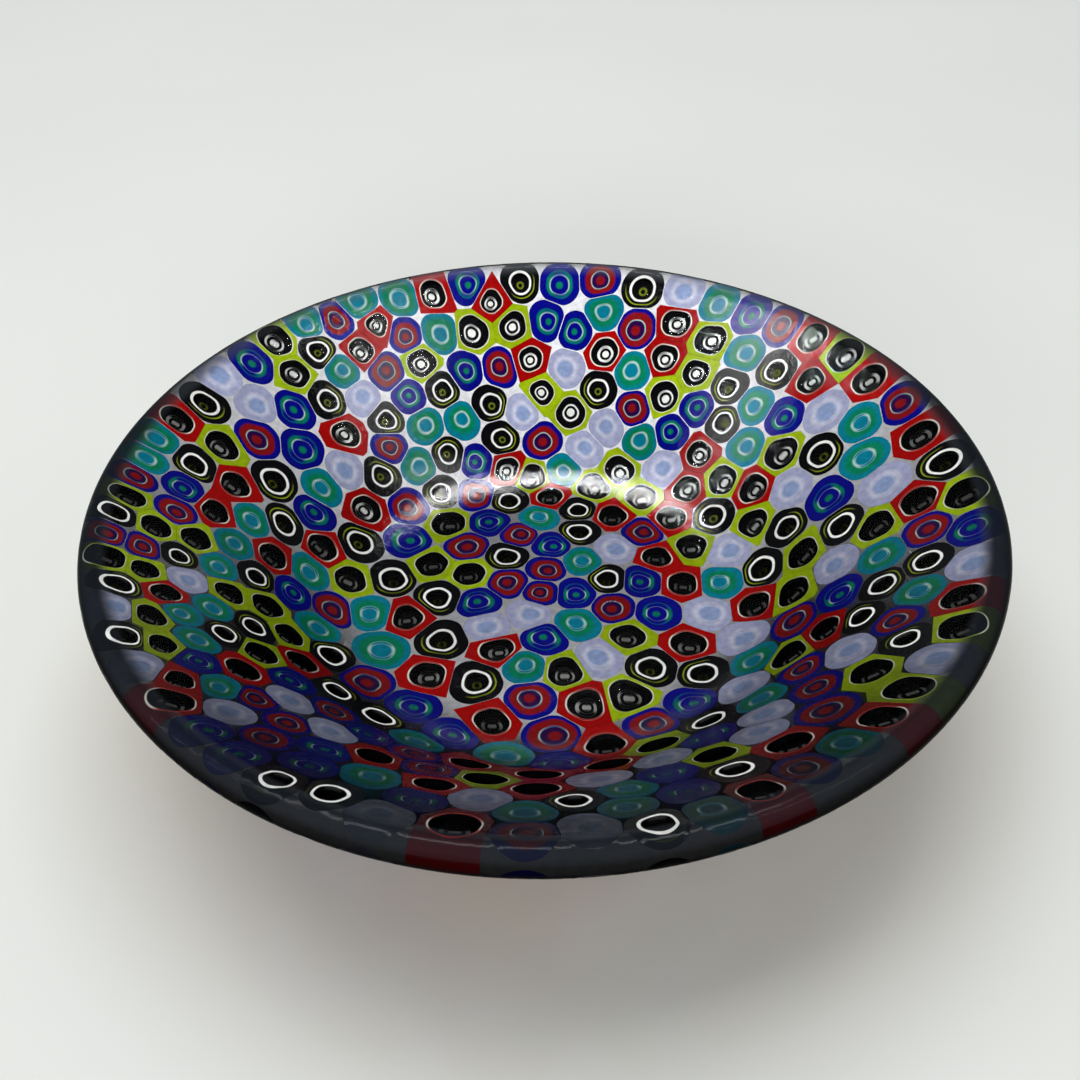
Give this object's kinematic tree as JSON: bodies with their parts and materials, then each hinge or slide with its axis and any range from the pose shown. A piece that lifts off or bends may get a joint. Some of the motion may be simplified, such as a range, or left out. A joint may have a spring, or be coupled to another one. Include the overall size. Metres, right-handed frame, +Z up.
{
  "type": "art glass bowl",
  "caption": "Round art glass bowl of fused and slumped murrine cane slices, with a flat floor, flared wall, rounded polished lip and flat underside.",
  "frame": {"origin": "centre of the flat underside, on the surface the bowl stands on", "axes": "+Z up along the bowl's axis, through the open mouth; the bowl is round, so +X and +Y are any two directions across it, with -Y towards the viewer"},
  "size_m": [0.15, 0.15, 0.0354],
  "materials": {
    "red_murrine_glass": "satin inner face, polished lip",
    "lime_murrine_glass": "satin inner face, polished lip",
    "black_murrine_glass": "satin inner face, polished lip",
    "cobalt_green_murrine_glass": "satin inner face, polished lip",
    "cobalt_brick_murrine_glass": "satin inner face, polished lip",
    "turquoise_murrine_glass": "satin inner face, polished lip",
    "lavender_murrine_glass": "satin inner face, polished lip"
  },
  "bodies": {
    "root": {"floor_centre_murrine": "cobalt_brick_murrine_glass", "floor_murrine_01": "lime_murrine_glass", "floor_murrine_02": "black_murrine_glass", "floor_murrine_03": "lime_murrine_glass", "floor_murrine_04": "turquoise_murrine_glass", "floor_murrine_05": "red_murrine_glass", "floor_murrine_06": "lime_murrine_glass", "heel_murrine_01": "cobalt_green_murrine_glass", "heel_murrine_02": "cobalt_green_murrine_glass", "heel_murrine_03": "cobalt_brick_murrine_glass", "heel_murrine_04": "lime_murrine_glass", "heel_murrine_05": "red_murrine_glass", "heel_murrine_06": "black_murrine_glass", "heel_murrine_07": "lime_murrine_glass", "heel_murrine_08": "lime_murrine_glass", "heel_murrine_09": "black_murrine_glass", "heel_murrine_10": "black_murrine_glass", "heel_murrine_11": "turquoise_murrine_glass", "heel_murrine_12": "cobalt_brick_murrine_glass", "rim_murrine_01": "turquoise_murrine_glass", "rim_murrine_02": "cobalt_green_murrine_glass", "rim_murrine_03": "cobalt_brick_murrine_glass", "rim_murrine_04": "red_murrine_glass", "rim_murrine_05": "red_murrine_glass", "rim_murrine_06": "lime_murrine_glass", "rim_murrine_07": "black_murrine_glass", "rim_murrine_08": "lavender_murrine_glass", "rim_murrine_09": "black_murrine_glass", "rim_murrine_10": "cobalt_brick_murrine_glass", "rim_murrine_11": "red_murrine_glass", "rim_murrine_12": "turquoise_murrine_glass", "rim_murrine_13": "red_murrine_glass", "rim_murrine_14": "turquoise_murrine_glass", "rim_murrine_15": "red_murrine_glass", "rim_murrine_16": "red_murrine_glass", "rim_murrine_17": "red_murrine_glass", "rim_murrine_18": "turquoise_murrine_glass", "rim_murrine_19": "lavender_murrine_glass", "rim_murrine_20": "turquoise_murrine_glass", "rim_murrine_21": "cobalt_green_murrine_glass", "wall_murrine_01": "red_murrine_glass", "wall_murrine_02": "cobalt_brick_murrine_glass", "wall_murrine_03": "cobalt_brick_murrine_glass", "wall_murrine_04": "black_murrine_glass", "wall_murrine_05": "black_murrine_glass", "wall_murrine_06": "black_murrine_glass", "wall_murrine_07": "red_murrine_glass", "wall_murrine_08": "cobalt_green_murrine_glass", "wall_murrine_09": "cobalt_brick_murrine_glass", "wall_murrine_10": "black_murrine_glass", "wall_murrine_11": "lime_murrine_glass", "wall_murrine_12": "turquoise_murrine_glass", "wall_murrine_13": "lavender_murrine_glass", "wall_murrine_14": "lavender_murrine_glass", "wall_murrine_15": "red_murrine_glass", "wall_murrine_16": "lavender_murrine_glass", "wall_murrine_17": "lavender_murrine_glass"}
  },
  "joints": []
}
